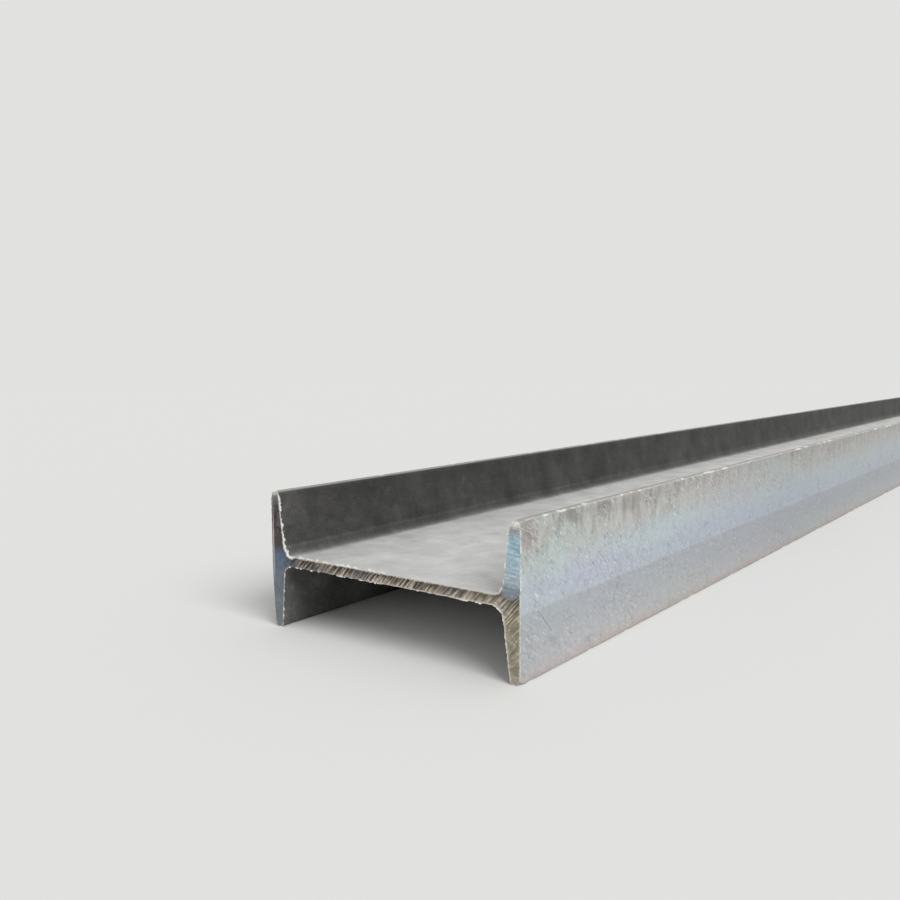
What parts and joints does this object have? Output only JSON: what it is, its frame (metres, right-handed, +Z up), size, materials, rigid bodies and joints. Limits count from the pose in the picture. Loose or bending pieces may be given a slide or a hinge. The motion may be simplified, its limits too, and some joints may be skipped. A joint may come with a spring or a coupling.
{
  "type": "steel i-beam",
  "caption": "Hot-rolled steel I-beam with tapered flanges, rounded toes and square-cut ends, stored lying on its side; a joist, rail, post or frame member.",
  "frame": {"origin": "floor level, under the middle of the beam", "axes": "+X along the beam, away from the end that the picture shows; +Y across the section's height, away from the flange face that the picture shows; +Z up, along the flanges' width, square to the level web"},
  "size_m": [6, 0.25, 0.116],
  "materials": {
    "hot_rolled_steel": "hot-rolled mill scale, light grey, with cut ends"
  },
  "bodies": {
    "root": {"i_beam": "hot_rolled_steel"}
  },
  "joints": []
}
